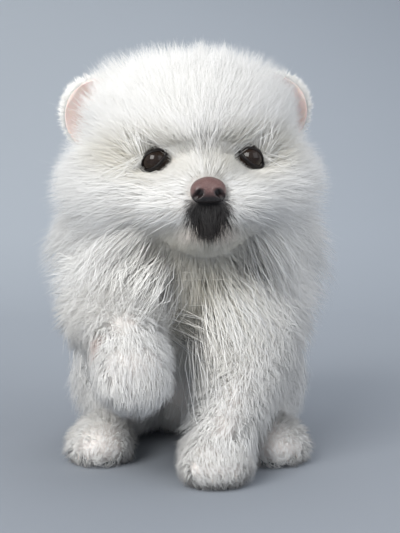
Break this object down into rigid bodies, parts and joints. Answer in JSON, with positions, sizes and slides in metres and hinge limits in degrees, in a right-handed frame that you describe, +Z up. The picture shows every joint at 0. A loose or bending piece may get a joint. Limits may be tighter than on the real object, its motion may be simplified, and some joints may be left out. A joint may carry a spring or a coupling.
{
  "type": "pomeranian puppy",
  "caption": "Young long-haired toy dog sitting upright with one forepaw raised, fluffy white coat, small folded-out ears and a short muzzle.",
  "frame": {"origin": "on the floor, under the middle of the seat", "axes": "the puppy faces -Y, its left side is +X and +Z is up"},
  "size_m": [0.1405, 0.2078, 0.1982],
  "materials": {
    "coat": "long soft white hair, cream in its depths",
    "nose": "moist pinkish-brown nose leather",
    "eye": "wet dark brown",
    "ear": "thin pink skin",
    "claw": "pale translucent horn"
  },
  "bodies": {
    "root": {"eye_left": "eye", "eye_right": "eye", "nose": "nose", "muzzle": "coat", "jaw": "coat", "ear_left": "ear", "ear_right": "ear", "head": "coat", "torso": "coat", "neck": "coat", "tail": "coat", "thigh_left": "coat", "thigh_right": "coat", "foreleg_left": "coat", "foreleg_right": "coat", "paw_fore_left": "coat", "claw_fore_left_1": "claw", "claw_fore_left_2": "claw", "claw_fore_left_3": "claw", "claw_fore_left_4": "claw", "paw_fore_right": "coat", "claw_fore_right_1": "claw", "claw_fore_right_2": "claw", "claw_fore_right_3": "claw", "claw_fore_right_4": "claw", "paw_hind_left": "coat", "claw_hind_left_1": "claw", "claw_hind_left_2": "claw", "claw_hind_left_3": "claw", "claw_hind_left_4": "claw", "paw_hind_right": "coat", "claw_hind_right_1": "claw", "claw_hind_right_2": "claw", "claw_hind_right_3": "claw", "claw_hind_right_4": "claw"}
  },
  "joints": []
}
